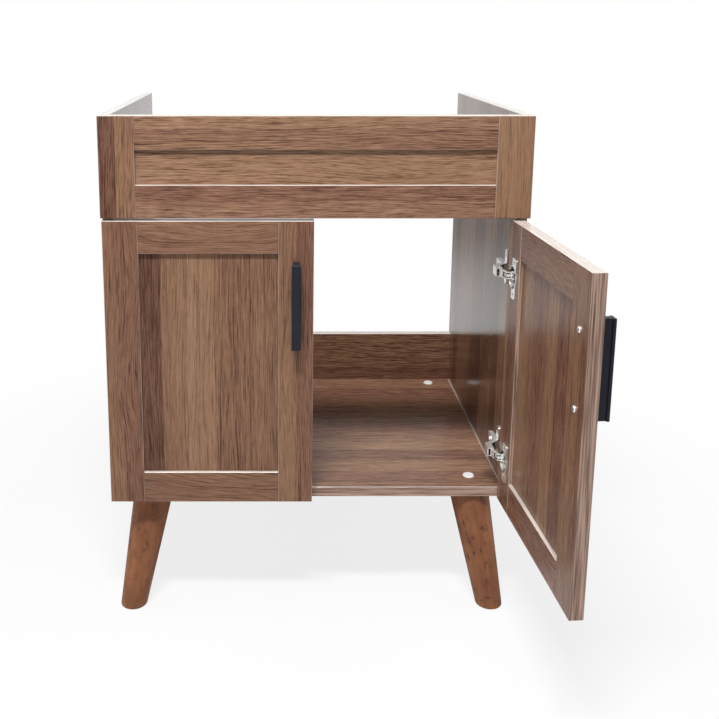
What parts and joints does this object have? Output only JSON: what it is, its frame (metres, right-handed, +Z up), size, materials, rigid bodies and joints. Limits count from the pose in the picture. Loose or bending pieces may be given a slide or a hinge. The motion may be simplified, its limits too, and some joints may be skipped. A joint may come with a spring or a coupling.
{
  "type": "vanity unit",
  "caption": "Free-standing bathroom vanity cabinet with an open top for a basin, a framed apron, framed doors on concealed hinges, profile pulls and splayed round legs.",
  "frame": {"origin": "on the floor, in the middle of the carcass's width and depth", "axes": "+Z up, +X to the right of someone facing the doors, +Y back to the wall; the doors face -Y"},
  "size_m": [0.63, 0.7734, 0.752],
  "materials": {
    "walnut_board": "walnut-pattern melamine, semi-gloss, grain along each piece",
    "leg_wood": "stained and lacquered solid wood",
    "dowel_wood": "plain beech",
    "black_aluminium": "black anodised, satin",
    "hinge_steel": "nickel plated",
    "pin_steel": "plain steel",
    "screw_steel": "zinc plated",
    "zinc_bracket": "zinc plated",
    "zinc_cam": "die cast, plain",
    "insert_brass": "plain",
    "white_cap": "moulded, satin"
  },
  "bodies": {
    "carcass": {"apron_bottom_rail": "walnut_board", "apron_bracket_screws": "screw_steel", "apron_brackets": "zinc_bracket", "apron_left_stile": "walnut_board", "apron_panel": "walnut_board", "apron_right_stile": "walnut_board", "apron_top_rail": "walnut_board", "back_rail": "walnut_board", "board_dowels": "dowel_wood", "bottom_panel": "walnut_board", "cam_bolts": "screw_steel", "cam_locks": "zinc_cam", "front_left_leg": "leg_wood", "front_right_leg": "leg_wood", "hinge_arm_pins": "pin_steel", "hinge_arm_screws": "screw_steel", "hinge_plate_screws": "screw_steel", "left_lower_hinge_arm": "hinge_steel", "left_lower_hinge_plate": "hinge_steel", "left_side_panel": "walnut_board", "left_upper_hinge_arm": "hinge_steel", "left_upper_hinge_plate": "hinge_steel", "leg_bolt_caps": "white_cap", "leg_bolts": "screw_steel", "leg_inserts": "insert_brass", "rear_left_leg": "leg_wood", "rear_right_leg": "leg_wood", "right_lower_hinge_arm": "hinge_steel", "right_lower_hinge_plate": "hinge_steel", "right_side_panel": "walnut_board", "right_upper_hinge_arm": "hinge_steel", "right_upper_hinge_plate": "hinge_steel"},
    "left_outer_links": {"left_outer_links": "hinge_steel"},
    "left_inner_links": {"left_inner_links": "hinge_steel"},
    "left_door": {"left_door_bottom_rail": "walnut_board", "left_door_hinge_stile": "walnut_board", "left_door_panel": "walnut_board", "left_door_pull": "black_aluminium", "left_door_pull_screws": "screw_steel", "left_door_pull_stile": "walnut_board", "left_door_top_rail": "walnut_board", "left_hinge_cup_pins": "pin_steel", "left_hinge_cup_screws": "screw_steel", "left_lower_hinge_cup": "hinge_steel", "left_upper_hinge_cup": "hinge_steel"},
    "right_outer_links": {"right_outer_links": "hinge_steel"},
    "right_inner_links": {"right_inner_links": "hinge_steel"},
    "right_door": {"right_door_bottom_rail": "walnut_board", "right_door_hinge_stile": "walnut_board", "right_door_panel": "walnut_board", "right_door_pull": "black_aluminium", "right_door_pull_screws": "screw_steel", "right_door_pull_stile": "walnut_board", "right_door_top_rail": "walnut_board", "right_hinge_cup_pins": "pin_steel", "right_hinge_cup_screws": "screw_steel", "right_lower_hinge_cup": "hinge_steel", "right_upper_hinge_cup": "hinge_steel"}
  },
  "joints": [
    {"name": "left_outer_link_swing", "type": "hinge", "parent": "carcass", "child": "left_outer_links", "pos_m": [-0.267, -0.222, 0.38825], "axis": [0, 0, -1], "range_deg": [-35.7, 0]},
    {"name": "left_door_swing", "type": "hinge", "parent": "left_outer_links", "child": "left_door", "pos_m": [-0.2891, -0.2327, 0.38825], "axis": [0, 0, -1], "range_deg": [-0.01, 140.71]},
    {"name": "left_inner_link_swing", "type": "hinge", "parent": "carcass", "child": "left_inner_links", "pos_m": [-0.2649, -0.2094, 0.38825], "axis": [0, 0, -1], "range_deg": [-29.02, 0.01]},
    {"name": "right_outer_link_swing", "type": "hinge", "parent": "carcass", "child": "right_outer_links", "pos_m": [0.267, -0.222, 0.38825], "axis": [0, 0, 1], "range_deg": [-4.08, 31.62]},
    {"name": "right_door_swing", "type": "hinge", "parent": "right_outer_links", "child": "right_door", "pos_m": [0.28021, -0.2427, 0.38825], "axis": [0, 0, 1], "range_deg": [-124.63, 16.09]},
    {"name": "right_inner_link_swing", "type": "hinge", "parent": "carcass", "child": "right_inner_links", "pos_m": [0.2649, -0.2094, 0.38825], "axis": [0, 0, 1], "range_deg": [-3.33, 25.71]}
  ],
  "couplings": [
    {"joint": "left_door_swing", "follows": "left_outer_link_swing", "ratio": -3.9412},
    {"joint": "left_inner_link_swing", "follows": "left_outer_link_swing", "ratio": 0.81265},
    {"joint": "right_door_swing", "follows": "right_outer_link_swing", "ratio": -3.9412},
    {"joint": "right_inner_link_swing", "follows": "right_outer_link_swing", "ratio": 0.81265}
  ]
}
